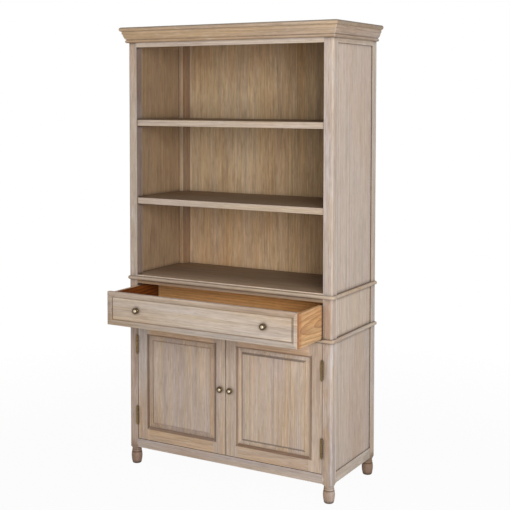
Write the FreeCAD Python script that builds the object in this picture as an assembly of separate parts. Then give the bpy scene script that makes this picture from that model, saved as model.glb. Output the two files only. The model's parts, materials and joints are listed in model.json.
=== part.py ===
import FreeCAD, Part
import os

# Dresser with hutch, in millimetres. The floor is z = 0, the front faces -Y, and +X is the
# right-hand side for a person in front of it. The drawer stands pulled out by drawer_open.

# Frame of the whole piece
carcass_width = 1022.0      # over the posts
carcass_depth = 442.0       # over the posts
post_size = 43.0
post_round = 8.0            # outer front corner of the front posts
edge_round = 1.0            # softened edges of posts and boards
face_setback = 1.0          # doors and rails behind the front of the posts

# Heights, from the floor up
foot_height = 80.0
bottom_rail_height = 40.0   # front and rear
side_rail_height = 46.0
cupboard_height = 553.0
waist_height = 16.0
drawer_opening = 151.0
drawer_top_rail_height = 15.0
base_top_thickness = 16.0
hutch_floor_thickness = 7.0
bay_height = 326.0
shelf_thickness = 27.0
frieze_height = 20.0
cornice_height = 51.0
cap_thickness = 19.0

# Boards, panels and rails of the carcass
side_panel_thickness = 12.0
side_panel_recess = 5.0
back_thickness = 8.0
back_recess = 8.0
groove_depth = 6.0
rail_thickness = 22.0
tenon_length = 12.0
tenon_inset = 0.3           # share of the rail's section left as a shoulder on each side
cupboard_floor_thickness = 15.0
waist_rail_depth = 60.0
drawer_top_rail_depth = 45.0
hutch_floor_setback = 2.0
shelf_setback = 4.0
rear_stile_depth = 52.0     # face inside the hutch's rear posts, from the back
rear_stile_face = 20.5      # its width beyond the side panels
rear_stile_reach = 14.5     # foot of its bevel, inside the posts
dowel_radius = 5.0
dowel_in_base = 14.0
dowel_in_hutch = 20.0
snug = 0.05                 # radial room round dowels, pins and screws

# Mouldings
nosing_reach = 10.0
nosing_flat = 0.4           # flat left in the middle of a rounded edge
cap_reach = 32.0
cornice_bead_height = 14.0
cornice_bead_reach = 11.5
cornice_quirk_reach = 7.0
cornice_quirk_height = 2.5
ovolo_foot_reach = 11.0
ovolo_belly_reach = 16.8
ovolo_belly_height = 28.0   # above the cornice's lower edge
ovolo_reach = 20.0
cornice_reach = 22.5        # of the fillet under the cap
fillet_height = 12.0

# Turned feet, radius and height pairs from the floor up
foot_floor_radius = 20.5
foot_floor_round = 2.5
foot_swell_radius = 23.8    # half way up to the fullest part of the barrel
foot_barrel_radius = 25.2
foot_barrel_height = 36.0
foot_shoulder_radius = 24.6 # half way from there to the top of the barrel
foot_barrel_top_radius = 23.2
foot_barrel_top = 53.0
foot_neck_radius = 21.0
foot_quirk = 1.0
foot_ring_radius = 22.4
foot_ring_height = 10.0
foot_cove_radius = 23.4
foot_cove_drop = 5.5        # below the top of the foot

# Drawer
drawer_open = 228.0
drawer_front_thickness = 18.0
drawer_front_gap = 2.5      # above and below the front
drawer_end_gap = 1.5        # each end of the front
drawer_front_round = 1.5
drawer_border = 17.0
drawer_field_recess = 4.0
drawer_field_slope = 9.0
drawer_side_thickness = 15.0
drawer_side_height = 141.0
drawer_side_inset = 0.5     # behind the ends of the front
drawer_back_thickness = 13.0
drawer_bottom_thickness = 6.0
drawer_bottom_height = 10.0 # above the lower edge of the sides
drawer_groove = 6.0
drawer_rear_space = 40.0    # between the closed drawer and the back
drawer_knob_inset = 153.5   # from the ends of the front
drawer_knob_rise = 2.0      # above the middle of the front
running_gap = 0.3
runner_width = 28.0
stop_height = 20.0

# Doors
door_gap = 2.0              # above and below
door_meeting_gap = 3.0
door_thickness = 20.0
door_stile = 52.5
door_top_rail = 61.0
door_bottom_rail = 54.0
door_tenon_length = 25.0
door_tenon_shoulder = 10.0
sticking_width = 8.0
sticking_depth = 8.5
sticking_lip = 1.2
sticking_belly_width = 3.5
sticking_belly_depth = 3.4
panel_tongue_depth = 9.5    # tongue behind the front of the door
panel_tongue_thickness = 5.0
panel_tongue_reach = 8.0
panel_bevel_width = 20.0
panel_bevel_rise = 4.0
panel_field_step = 2.5
door_knob_inset = 23.0      # from the meeting edge
door_knob_height = 289.0    # from the lower edge of the door
stop_block_width = 40.0
stop_block_size = 14.0
stop_block_inset = 10.0     # from the middle of the cabinet

# Knobs, along their own axis from the seat
knob_length = 18.0
knob_radius = 13.2
knob_rosette_radius = 8.5
knob_rosette_height = 2.0
knob_neck_radius = 5.4
knob_neck_height = 5.4
knob_flare_radius = 8.4     # half way up from the neck to the rim
knob_flare_height = 9.0
knob_rim_height = 10.5
knob_rim_thickness = 3.0
knob_rim_bulge = 0.4
knob_rim_bevel = 1.0
knob_dish_radius = 8.6
knob_dish_depth = 1.0
knob_screw_radius = 2.0
knob_screw_depth = 9.0
knob_screw_head_radius = 4.0
knob_screw_head_height = 2.5

# Butt hinges
hinge_height = 76.0
hinge_top_inset = 113.0     # middle of the hinge below the top of the door
hinge_bottom_inset = 109.0  # middle of the hinge above the foot of the door
knuckle_count = 5
knuckle_gap = 0.4
barrel_radius = 4.5
barrel_clearance = 0.3
pin_radius = 2.2
leaf_thickness = 1.2
leaf_gap = 0.2
leaf_width = 19.0
finial_ball_radius = 2.6
finial_collar_height = 2.0
finial_collar_radius = 4.2
finial_neck_radius = 1.8
hinge_screw_spacing = 25.0
hinge_screw_row = 11.0      # behind the front of the posts
hinge_screw_radius = 1.7
hinge_screw_length = 16.0
hinge_screw_head_radius = 3.2

V = FreeCAD.Vector
tiny = 0.001

# Levels
z_rail = foot_height + bottom_rail_height
z_side_rail = foot_height + side_rail_height
z_waist = z_rail + cupboard_height
z_drawer = z_waist + waist_height
z_drawer_rail = z_drawer + drawer_opening
z_base_top = z_drawer_rail + drawer_top_rail_height
z_hutch = z_base_top + base_top_thickness
z_bay = z_hutch + hutch_floor_thickness
z_lower_shelf = z_bay + bay_height
z_upper_shelf = z_lower_shelf + shelf_thickness + bay_height
z_frieze = z_upper_shelf + shelf_thickness + bay_height
z_cornice = z_frieze + frieze_height
z_cap = z_cornice + cornice_height
z_top = z_cap + cap_thickness

# Planes across the piece
x_post = carcass_width / 2
x_inner = x_post - post_size
x_panel = x_post - side_panel_recess
x_panel_inner = x_panel - side_panel_thickness

# Planes from front to back, with the middle of the pulled-out piece at y = 0
front_reach = drawer_open + knob_length - drawer_field_recess
rear_reach = foot_barrel_radius - post_size / 2
y_back = (carcass_depth + front_reach - rear_reach) / 2
y_front = y_back - carcass_depth
y_front_post = y_front + post_size
y_rear_post = y_back - post_size
y_face = y_front + face_setback
y_back_panel = y_back - back_recess - back_thickness
y_drawer = y_front - drawer_open

nodes = {}


def box(x0, x1, y0, y1, z0, z1):
    return Part.makeBox(x1 - x0, y1 - y0, z1 - z0, V(x0, y0, z0))


def board(x0, x1, y0, y1, z0, z1):
    """A box with its long edges softened."""
    shape = box(x0, x1, y0, y1, z0, z1)
    lengths = (x1 - x0, y1 - y0, z1 - z0)
    longest = max(lengths)
    edges = [edge for edge in shape.Edges if abs(edge.Length - longest) < tiny]
    return shape.makeFillet(min(edge_round, min(lengths) / 3), edges)


def mirrored(shape):
    return shape.mirror(V(0, 0, 0), V(1, 0, 0))


def both_sides(name, right):
    nodes[name + "_right"] = right
    nodes[name + "_left"] = mirrored(right)


def main_solid(shape):
    return max(shape.Solids, key=lambda solid: solid.Volume)


def without(shape, cutters):
    """The main piece of the shape, less every cutter that reaches it."""
    near = [cutter for cutter in cutters if shape.BoundBox.intersect(cutter.BoundBox)]
    return main_solid(shape.cut(near)) if near else shape


def group(solids):
    return Part.makeCompound(solids)


def with_mirror(solids):
    return solids + [mirrored(solid) for solid in solids]


def plan_prism(points, z0, z1):
    wire = Part.makePolygon([V(x, y, z0) for x, y in points + points[:1]])
    return Part.Face(wire).extrude(V(0, 0, z1 - z0))


def turned(start, *steps):
    """A solid turned round Z. A step is the next (radius, z), or (belly, end) for an arc."""
    edges = []
    here = V(start[0], 0, start[1])
    for step in steps:
        arc = isinstance(step[0], tuple)
        there = V(step[1][0], 0, step[1][1]) if arc else V(step[0], 0, step[1])
        if arc:
            belly = V(step[0][0], 0, step[0][1])
            edges.append(Part.Arc(here, belly, there).toShape())
        else:
            edges.append(Part.LineSegment(here, there).toShape())
        here = there
    edges.append(Part.LineSegment(here, V(start[0], 0, start[1])).toShape())
    return Part.Face(Part.Wire(edges)).revolve(V(0, 0, 0), V(0, 0, 1), 360)


def upright_edges(shape, corners):
    """The vertical edges that stand at the given (x, y) corners."""
    found = []
    for edge in shape.Edges:
        bound = edge.BoundBox
        if bound.XLength > tiny or bound.YLength > tiny:
            continue
        for x, y in corners:
            if abs(bound.XMin - x) < tiny and abs(bound.YMin - y) < tiny:
                found.append(edge)
    return found


def nosed_board(reach, z0, thickness, corner_round):
    """A board over the carcass with its front and sides rounded, flush at the back."""
    x = x_post + reach
    y = y_front - reach
    shape = box(-x, x, y, y_back, z0, z0 + thickness)
    if corner_round:
        shape = shape.makeFillet(corner_round, upright_edges(shape, [(-x, y), (x, y)]))
    rim = [edge for edge in shape.Edges
           if edge.BoundBox.ZLength < tiny and edge.CenterOfMass.y < y_back - tiny]
    return shape.makeFillet((thickness - nosing_flat) / 2, rim)


# Rails, with tenons that run into the posts

def rail_across(y0, y1, z0, z1):
    rail = board(-x_inner, x_inner, y0, y1, z0, z1)
    y_end = min(y1, y_front_post) if y0 < y_front_post else y1
    dy = (y_end - y0) * tenon_inset
    dz = (z1 - z0) * tenon_inset
    tenons = box(-x_inner - tenon_length, x_inner + tenon_length, y0 + dy, y_end - dy, z0 + dz, z1 - dz)
    return rail.fuse(tenons).removeSplitter()


def side_rail(x0, x1, z0, z1):
    rail = board(x0, x1, y_front_post, y_rear_post, z0, z1)
    dx = (x1 - x0) * tenon_inset
    dz = (z1 - z0) * tenon_inset
    tenons = box(x0 + dx, x1 - dx, y_front_post - tenon_length, y_rear_post + tenon_length,
                 z0 + dz, z1 - dz)
    return rail.fuse(tenons).removeSplitter()


base_rail_front = rail_across(y_face, y_face + rail_thickness, foot_height, z_rail)
base_rail_rear = rail_across(y_back - rail_thickness, y_back, foot_height, z_rail)
waist_rail = rail_across(y_front, y_front + waist_rail_depth, z_waist, z_drawer)
drawer_top_rail = rail_across(y_face, y_face + drawer_top_rail_depth, z_drawer_rail, z_base_top)
frieze_rail = rail_across(y_front, y_front + rail_thickness, z_frieze, z_cap)
x_side_rail = x_post - face_setback - rail_thickness
base_side_rail = side_rail(x_side_rail, x_post - face_setback, foot_height, z_side_rail)
hutch_side_rail = side_rail(x_panel_inner, x_post, z_frieze, z_cap)


# Panels, set in grooves

def side_panel(z0, z1):
    return box(x_panel_inner, x_panel, y_front_post - groove_depth, y_rear_post + groove_depth, z0, z1)


def back_panel(z0, z1):
    x = x_inner + groove_depth
    return box(-x, x, y_back_panel, y_back_panel + back_thickness, z0, z1)


base_side_panel = side_panel(z_side_rail - groove_depth, z_base_top)
hutch_side_panel = side_panel(z_hutch, z_frieze + groove_depth)
base_back = back_panel(z_rail - groove_depth, z_base_top)
hutch_back = back_panel(z_hutch, z_cap)
base_side_rail = without(base_side_rail, [base_side_panel])
hutch_side_rail = without(hutch_side_rail, [hutch_side_panel])
base_rail_rear = without(base_rail_rear, [base_back])


# Dowels that hold the hutch on the base

def dowels(radius):
    centre = post_size / 2
    length = dowel_in_base + base_top_thickness + dowel_in_hutch
    spots = [(x_post - centre, y_front + centre), (x_post - centre, y_back - centre)]
    right = [Part.makeCylinder(radius, length, V(x, y, z_base_top - dowel_in_base)) for x, y in spots]
    return with_mirror(right)


dowel_holes = dowels(dowel_radius + snug)
nodes["hutch_dowels"] = group(dowels(dowel_radius))


# Butt hinges on the right-hand side, turning about an upright axis in front of the posts

hinge_gap = 2 * leaf_thickness + leaf_gap
x_hinge = x_inner - hinge_gap / 2
y_hinge = y_front - barrel_radius - barrel_clearance
door_z0 = z_rail + door_gap
door_z1 = z_waist - door_gap
hinge_levels = [door_z0 + hinge_bottom_inset, door_z1 - hinge_top_inset]


def knuckles(level, first, radius, spare):
    """Every second knuckle from the given one, as plain rods."""
    pitch = hinge_height / knuckle_count
    rods = []
    for index in range(first, knuckle_count, 2):
        z0 = level - hinge_height / 2 + index * pitch + knuckle_gap / 2 - spare
        rods.append(Part.makeCylinder(radius, pitch - knuckle_gap + 2 * spare, V(x_hinge, y_hinge, z0)))
    return rods


def hinge_leaf(level, x0, first, holes):
    z0 = level - hinge_height / 2
    plate = box(x0, x0 + leaf_thickness, y_hinge, y_face + leaf_width, z0, z0 + hinge_height)
    plate = plate.cut(knuckles(level, 1 - first, barrel_radius + barrel_clearance, knuckle_gap))
    leaf = plate.fuse(knuckles(level, first, barrel_radius, 0)).removeSplitter()
    bore = Part.makeCylinder(pin_radius + snug, hinge_height, V(x_hinge, y_hinge, z0))
    return leaf.cut([bore] + holes).Solids[0]


def hinge_pin(level):
    """A pin with a collar and a small ball at each end."""
    half = hinge_height / 2
    seat = half + knuckle_gap / 2
    collar = seat + finial_collar_height
    ball = collar + (finial_ball_radius ** 2 - finial_neck_radius ** 2) ** 0.5
    tip = ball + finial_ball_radius
    pin = turned((0, -tip), ((finial_ball_radius, -ball), (finial_neck_radius, -collar)),
                 (finial_collar_radius, -collar), (finial_collar_radius, -seat),
                 (pin_radius, -seat), (pin_radius, seat),
                 (finial_collar_radius, seat), (finial_collar_radius, collar),
                 (finial_neck_radius, collar), ((finial_ball_radius, ball), (0, tip)))
    pin.translate(V(x_hinge, y_hinge, level))
    return pin


def hinge_screws(level, towards, x_leaf, room):
    """Countersunk screws through a leaf, driven along X."""
    screws = []
    shank = hinge_screw_radius + room
    head = hinge_screw_head_radius + room
    length = hinge_screw_length + room
    for offset in (-hinge_screw_spacing, 0.0, hinge_screw_spacing):
        screw = turned((0, 0), (head, 0), (shank, leaf_thickness), (shank, length), (0, length))
        screw.rotate(V(0, 0, 0), V(0, 1, 0), 90 * towards)
        screw.translate(V(x_leaf, y_front + hinge_screw_row, level + offset))
        screws.append(screw)
    return screws


x_post_leaf = x_inner - leaf_thickness
x_door_edge = x_inner - hinge_gap
x_door_leaf = x_door_edge + leaf_thickness
post_leaves, door_leaves, pins = [], [], []
post_screws, door_screws, post_screw_holes, door_screw_holes = [], [], [], []
for level in hinge_levels:
    into_post = hinge_screws(level, 1, x_post_leaf, snug)
    into_door = hinge_screws(level, -1, x_door_leaf, snug)
    post_leaves.append(hinge_leaf(level, x_post_leaf, 0, into_post))
    door_leaves.append(hinge_leaf(level, x_door_edge, 1, into_door))
    post_screws += hinge_screws(level, 1, x_post_leaf, 0)
    door_screws += hinge_screws(level, -1, x_door_leaf, 0)
    post_screw_holes += into_post
    door_screw_holes += into_door
    pins.append(hinge_pin(level))

nodes["post_hinge_leaves"] = group(with_mirror(post_leaves))
nodes["post_hinge_screws"] = group(with_mirror(post_screws))
nodes["hinge_pins"] = group(with_mirror(pins))


# Posts, the base ones with turned feet

def post_block(y0, z0, z1, rounded_corner):
    shape = box(x_inner, x_post, y0, y0 + post_size, z0, z1)
    corners = [(x_inner, y0), (x_inner, y0 + post_size), (x_post, y0 + post_size), (x_post, y0)]
    if rounded_corner:
        shape = shape.makeFillet(post_round, upright_edges(shape, corners[3:]))
        corners = corners[:3]
    return shape.makeFillet(edge_round, upright_edges(shape, corners))


def foot_turning(z0):
    """The turned outline below z0 and the cove that runs out into the square post above it."""
    ring_z = foot_barrel_top + foot_quirk
    swell_z = (foot_floor_round + foot_barrel_height) / 2
    shoulder_z = (foot_barrel_height + foot_barrel_top) / 2
    base = turned((0, 0), (foot_floor_radius - foot_floor_round, 0),
                  (foot_floor_radius, foot_floor_round),
                  ((foot_swell_radius, swell_z), (foot_barrel_radius, foot_barrel_height)),
                  ((foot_shoulder_radius, shoulder_z), (foot_barrel_top_radius, foot_barrel_top)),
                  (foot_neck_radius, ring_z),
                  ((foot_ring_radius, (ring_z + z0) / 2), (foot_neck_radius, z0)),
                  (0, z0))
    corner = post_size * 2 ** 0.5 / 2
    cove = turned((0, z0), (foot_neck_radius, z0),
                  ((foot_cove_radius, foot_height - foot_cove_drop), (corner, foot_height)),
                  (0, foot_height))
    return base, cove


def base_post(y0, rounded_corner):
    z0 = foot_barrel_top + foot_quirk + foot_ring_height
    block = post_block(y0, z0, z_base_top, rounded_corner)
    upper = block.common(box(x_inner, x_post, y0, y0 + post_size, foot_height, z_base_top))
    base, cove = foot_turning(z0)
    for turning in (base, cove):
        turning.translate(V(x_post - post_size / 2, y0 + post_size / 2, 0))
    return upper.fuse([block.common(cove), base]).removeSplitter().Solids[0]


def hutch_front_post():
    shaft = post_block(y_front, z_hutch, z_cornice, True)
    head = box(x_inner, x_post, y_front, y_front_post, z_cornice, z_cap)
    return shaft.fuse(head).removeSplitter().Solids[0]


def hutch_rear_post():
    """A post with a stile inside it, bevelled down to the back."""
    post = post_block(y_rear_post, z_hutch, z_cap, False)
    y_stile = y_back - rear_stile_depth
    stile = plan_prism([(x_panel_inner, y_stile), (x_panel_inner - rear_stile_face, y_stile),
                        (x_inner - rear_stile_reach, y_back_panel), (x_panel_inner, y_back_panel)],
                       z_hutch, z_cap)
    return post.fuse(stile).removeSplitter().Solids[0]


post_cutters = [base_rail_front, base_rail_rear, waist_rail, drawer_top_rail, frieze_rail,
                base_side_rail, hutch_side_rail, base_side_panel, hutch_side_panel,
                base_back, hutch_back] + dowel_holes + post_screw_holes
base_post_front = without(base_post(y_front, True), post_cutters)
base_post_rear = without(base_post(y_rear_post, False), post_cutters)
hutch_post_front = without(hutch_front_post(), post_cutters)
hutch_post_rear = without(hutch_rear_post(), post_cutters)
base_posts = with_mirror([base_post_front, base_post_rear])
hutch_posts = with_mirror([hutch_post_front, hutch_post_rear])

both_sides("base_post_front", base_post_front)
both_sides("base_post_rear", base_post_rear)
both_sides("base_side_panel", base_side_panel)
nodes["base_rail_front"] = base_rail_front
nodes["base_rail_rear"] = base_rail_rear
nodes["base_side_rails"] = group(with_mirror([base_side_rail]))
nodes["base_back"] = base_back
nodes["waist_rail"] = waist_rail
nodes["drawer_top_rail"] = drawer_top_rail
both_sides("hutch_post_front", hutch_post_front)
both_sides("hutch_post_rear", hutch_post_rear)
both_sides("hutch_side_panel", hutch_side_panel)
nodes["hutch_side_rails"] = group(with_mirror([hutch_side_rail]))
nodes["frieze_rail"] = frieze_rail
nodes["hutch_back"] = hutch_back

# Boards inside the carcass, notched round the posts
cupboard_floor = box(-x_side_rail, x_side_rail, y_face + rail_thickness, y_back - rail_thickness,
                     z_rail - cupboard_floor_thickness, z_rail)
nodes["cupboard_floor"] = without(cupboard_floor, base_posts)
hutch_floor = board(-x_panel_inner, x_panel_inner, y_front + hutch_floor_setback, y_back_panel,
                    z_hutch, z_bay)
nodes["hutch_floor"] = without(hutch_floor, hutch_posts)
for name, z0 in (("hutch_shelf_lower", z_lower_shelf), ("hutch_shelf_upper", z_upper_shelf)):
    shelf = board(-x_panel_inner, x_panel_inner, y_front + shelf_setback, y_back_panel,
                  z0, z0 + shelf_thickness)
    nodes[name] = without(shelf, hutch_posts)

# Top of the base, with its rounded edge standing proud all round
base_top = nosed_board(nosing_reach, z_base_top, base_top_thickness, post_round + nosing_reach)
nodes["base_top"] = without(base_top, dowel_holes)

# Moulding at the waist, a front strip and two returns mitred at the corners
waist_ring = nosed_board(nosing_reach, z_waist, waist_height, post_round + nosing_reach)
waist_core = box(-x_panel, x_panel, y_front, y_back, z_waist, z_drawer)
waist_strips = waist_ring.cut([waist_core] + base_posts)
mitre_reach = cap_reach + post_size


def right_of_mitre(z0, z1):
    """The room to the right of the mitre that runs out from the right front corner."""
    return plan_prism([(x_post - post_size, y_front + post_size),
                       (x_post + mitre_reach, y_front - mitre_reach),
                       (x_post + mitre_reach, y_back), (x_post - post_size, y_back)], z0, z1)


waist_side = right_of_mitre(z_waist, z_drawer)
nodes["waist_moulding_front"] = waist_strips.cut([waist_side, mirrored(waist_side)]).Solids[0]
nodes["waist_moulding_returns"] = group(with_mirror([waist_strips.common(waist_side).Solids[0]]))


# Cornice, a moulded front, two returns and a rounded cap

def cornice_section():
    """The section in (reach, z), as edges of a closed wire in the XZ plane."""
    bead_radius = cornice_bead_height / 2
    bead_centre = cornice_bead_reach - bead_radius
    bead_top = z_cornice + cornice_bead_height
    quirk_top = bead_top + cornice_quirk_height
    flat = [V(0, 0, z_cornice), V(bead_centre, 0, z_cornice)]
    bead = [flat[1], V(cornice_bead_reach, 0, z_cornice + bead_radius), V(bead_centre, 0, bead_top)]
    quirk = [bead[2], V(cornice_quirk_reach, 0, bead_top), V(cornice_quirk_reach, 0, quirk_top),
             V(ovolo_foot_reach, 0, quirk_top)]
    fillet_z = z_cap - fillet_height
    ovolo = [quirk[3], V(ovolo_belly_reach, 0, z_cornice + ovolo_belly_height),
             V(ovolo_reach, 0, fillet_z)]
    fillet = [ovolo[2], V(cornice_reach, 0, fillet_z), V(cornice_reach, 0, z_cap), V(0, 0, z_cap), flat[0]]
    edges = [Part.Arc(*bead).toShape(), Part.Arc(*ovolo).toShape()]
    for run in (flat, quirk, fillet):
        edges += [Part.LineSegment(a, b).toShape() for a, b in zip(run, run[1:])]
    return Part.Face(Part.Wire(Part.sortEdges(edges)[0]))


side_section = cornice_section()
side_section.translate(V(x_post, y_front - cornice_reach, 0))
cornice_side = side_section.extrude(V(0, carcass_depth + cornice_reach, 0))
front_section = cornice_section()
front_section.rotate(V(0, 0, 0), V(0, 0, 1), -90)
front_section.translate(V(-x_post - cornice_reach, y_front, 0))
cornice_front = front_section.extrude(V(2 * (x_post + cornice_reach), 0, 0))
cornice_corner = right_of_mitre(z_cornice, z_cap)
nodes["cornice_front"] = cornice_front.cut([cornice_corner, mirrored(cornice_corner)]).Solids[0]
nodes["cornice_returns"] = group(with_mirror([cornice_side.common(cornice_corner).Solids[0]]))
nodes["cornice_cap"] = nosed_board(cap_reach, z_cap, cap_thickness, 0)


# Knobs and their screws, standing out towards -Y from a seat

def knob(x, y_seat, z):
    top = knob_rim_height + knob_rim_thickness
    dish = top - knob_dish_depth
    dome_rise = knob_length - dish
    dome_radius = (knob_dish_radius ** 2 + dome_rise ** 2) / (2 * dome_rise)
    half_way = knob_dish_radius / 2
    dome_belly = knob_length - dome_radius + (dome_radius ** 2 - half_way ** 2) ** 0.5
    shape = turned((0, 0), (knob_rosette_radius, 0), (knob_rosette_radius, knob_rosette_height),
                   (knob_neck_radius, knob_neck_height),
                   ((knob_flare_radius, knob_flare_height), (knob_radius, knob_rim_height)),
                   ((knob_radius + knob_rim_bulge, knob_rim_height + knob_rim_thickness / 2),
                    (knob_radius - knob_rim_bevel, top)),
                   (knob_dish_radius, top), (knob_dish_radius, dish),
                   ((half_way, dome_belly), (0, knob_length)))
    hole = Part.makeCylinder(knob_screw_radius + snug, knob_screw_depth + snug)
    shape = shape.cut(hole)
    return placed_on_front(shape, x, y_seat, z)


def placed_on_front(shape, x, y_seat, z):
    shape.rotate(V(0, 0, 0), V(1, 0, 0), 90)
    shape.translate(V(x, y_seat, z))
    return shape


def knob_screw(x, y_seat, z, wall):
    """A screw from behind a wall into the knob, with its head on the inner face."""
    inner = -wall - knob_screw_head_height
    shape = turned((0, inner), (knob_screw_head_radius, inner), (knob_screw_head_radius, -wall),
                   (knob_screw_radius, -wall), (knob_screw_radius, knob_screw_depth),
                   (0, knob_screw_depth))
    return placed_on_front(shape, x, y_seat, z)


# Drawer, in its pulled-out place
drawer_x = x_inner - drawer_end_gap
drawer_z0 = z_drawer + drawer_front_gap
drawer_z1 = z_drawer_rail - drawer_front_gap
drawer_inner = y_drawer + drawer_front_thickness
drawer_rear = y_drawer + y_back_panel - y_face - drawer_rear_space
side_x1 = drawer_x - drawer_side_inset
side_x0 = side_x1 - drawer_side_thickness
side_z0 = z_drawer + running_gap
side_z1 = side_z0 + drawer_side_height
bottom_z0 = side_z0 + drawer_bottom_height
bottom_z1 = bottom_z0 + drawer_bottom_thickness
field_y = y_drawer + drawer_field_recess
field_wall = drawer_front_thickness - drawer_field_recess
drawer_knob_x = drawer_x - drawer_knob_inset
drawer_knob_z = (drawer_z0 + drawer_z1) / 2 + drawer_knob_rise


def upright_rectangle(x0, x1, z0, z1, inset, y):
    corners = [V(x0 + inset, y, z0 + inset), V(x1 - inset, y, z0 + inset),
               V(x1 - inset, y, z1 - inset), V(x0 + inset, y, z1 - inset)]
    return Part.makePolygon(corners + corners[:1])


def frustum(x0, x1, z0, z1, stations):
    """A straight-sided loft through upright rectangles, given as (inset, y) stations."""
    wires = [upright_rectangle(x0, x1, z0, z1, inset, y) for inset, y in stations]
    return Part.makeLoft(wires, True, True)


drawer_bottom = box(-side_x0 - drawer_groove, side_x0 + drawer_groove,
                    drawer_inner - drawer_groove, drawer_rear, bottom_z0, bottom_z1)
front_board = box(-drawer_x, drawer_x, y_drawer, drawer_inner, drawer_z0, drawer_z1)
front_rim = [edge for edge in front_board.Edges if edge.BoundBox.YMax < y_drawer + tiny]
front_board = front_board.makeFillet(drawer_front_round, front_rim)
field = frustum(-drawer_x, drawer_x, drawer_z0, drawer_z1,
                [(drawer_border, y_drawer), (drawer_border + drawer_field_slope, field_y)])
knob_spots = [drawer_knob_x, -drawer_knob_x]
front_holes = [Part.makeCylinder(knob_screw_radius + snug, drawer_front_thickness,
                                 V(x, y_drawer, drawer_knob_z), V(0, 1, 0)) for x in knob_spots]
nodes["drawer_front"] = front_board.cut([field, drawer_bottom] + front_holes).Solids[0]
nodes["drawer_bottom"] = drawer_bottom
drawer_side = board(side_x0, side_x1, drawer_inner, drawer_rear, side_z0, side_z1)
both_sides("drawer_side", without(drawer_side, [drawer_bottom]))
nodes["drawer_back"] = board(-side_x0, side_x0, drawer_rear - drawer_back_thickness, drawer_rear,
                             bottom_z1, side_z1)
nodes["drawer_knobs"] = group([knob(x, field_y, drawer_knob_z) for x in knob_spots])
nodes["drawer_knob_screws"] = group([knob_screw(x, field_y, drawer_knob_z, field_wall)
                                     for x in knob_spots])

# Runners under the drawer, kickers above it and stops behind it
x_runner = side_x1 - runner_width
runner = box(x_runner, x_panel_inner, y_front + waist_rail_depth, y_back_panel, z_waist, z_drawer)
kicker = box(x_runner, x_panel_inner, y_face + drawer_top_rail_depth, y_back_panel,
             z_drawer_rail, z_base_top)
y_closed = drawer_rear + drawer_open + face_setback
stop = box(x_runner, side_x1, y_closed + running_gap, y_back_panel, z_drawer, z_drawer + stop_height)
guides = [without(runner, base_posts), without(kicker, base_posts), stop]
nodes["drawer_runners"] = group(with_mirror(guides))

# Right-hand door, shut, with a raised panel in a moulded frame
door_x0 = door_meeting_gap / 2
door_x1 = x_door_edge
sight = (door_x0 + door_stile, door_x1 - door_stile, door_z0 + door_bottom_rail, door_z1 - door_top_rail)
deep = (sight[0] + sticking_width, sight[1] - sticking_width,
        sight[2] + sticking_width, sight[3] - sticking_width)
tongue_y0 = y_face + panel_tongue_depth
tongue_y1 = tongue_y0 + panel_tongue_thickness
bevel_y = tongue_y0 - panel_bevel_rise
field_door_y = bevel_y - panel_field_step


def door_panel():
    tongue = box(deep[0] - panel_tongue_reach, deep[1] + panel_tongue_reach, tongue_y0, tongue_y1,
                 deep[2] - panel_tongue_reach, deep[3] + panel_tongue_reach)
    bevel = frustum(*deep, [(0, tongue_y0), (panel_bevel_width, bevel_y)])
    inset = panel_bevel_width + edge_round
    raised = box(deep[0] + inset, deep[1] - inset, field_door_y, bevel_y, deep[2] + inset, deep[3] - inset)
    return tongue.fuse([bevel, raised]).removeSplitter().Solids[0]


def door_frame():
    frame = box(door_x0, door_x1, y_face, y_face + door_thickness, door_z0, door_z1)
    rim = [edge for edge in frame.Edges if edge.BoundBox.YMax < y_face + tiny]
    frame = frame.makeFillet(edge_round, rim)
    opening = box(deep[0], deep[1], y_face, y_face + door_thickness, deep[2], deep[3])
    sticking = frustum(*sight, [(0, y_face), (0, y_face + sticking_lip),
                                (sticking_belly_width, y_face + sticking_belly_depth),
                                (sticking_width, y_face + sticking_depth)])
    return frame.cut([opening, sticking])


def door_rail(z0, z1):
    """One cross rail of the frame, with tenons at both ends."""
    between = box(deep[0], deep[1], y_face, y_face + door_thickness, z0, z1)
    tenons = box(deep[0] - door_tenon_length, deep[1] + door_tenon_length, tongue_y0, tongue_y1,
                 max(z0, door_z0) + door_tenon_shoulder, min(z1, door_z1) - door_tenon_shoulder)
    rail = frame.common(between).cut(panel)
    return rail.fuse(tenons.cut(panel)).removeSplitter().Solids[0]


panel = door_panel()
frame = door_frame()
top_rail = door_rail(deep[3], door_z1)
bottom_rail = door_rail(door_z0, deep[2])
lock_side = box(door_x0, deep[0], y_face, y_face + door_thickness, door_z0, door_z1)
hinge_side = box(deep[1], door_x1, y_face, y_face + door_thickness, door_z0, door_z1)
door_knob_spot = (door_x0 + door_knob_inset, y_face, door_z0 + door_knob_height)
knob_hole = Part.makeCylinder(knob_screw_radius + snug, door_thickness, V(*door_knob_spot), V(0, 1, 0))
door_joints = [panel, top_rail, bottom_rail]
lock_stile = frame.common(lock_side).cut(door_joints + [knob_hole]).Solids[0]
hinge_stile = frame.common(hinge_side).cut(door_joints + door_screw_holes).Solids[0]

right_door = {
    "hinge_stile": hinge_stile,
    "lock_stile": lock_stile,
    "top_rail": top_rail,
    "bottom_rail": bottom_rail,
    "panel": panel,
    "knob": knob(*door_knob_spot),
    "hinge_leaves": group(door_leaves),
    "screws": group(door_screws + [knob_screw(*door_knob_spot, door_thickness)]),
}
for name, shape in right_door.items():
    nodes["right_door_" + name] = shape
    nodes["left_door_" + name] = mirrored(shape)

# Blocks under the waist rail that the doors shut against
y_stop = y_face + door_thickness + running_gap
stop_block = box(stop_block_inset, stop_block_inset + stop_block_width, y_stop, y_stop + stop_block_size,
                 z_waist - stop_block_size, z_waist)
nodes["door_stops"] = group(with_mirror([stop_block]))

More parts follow.
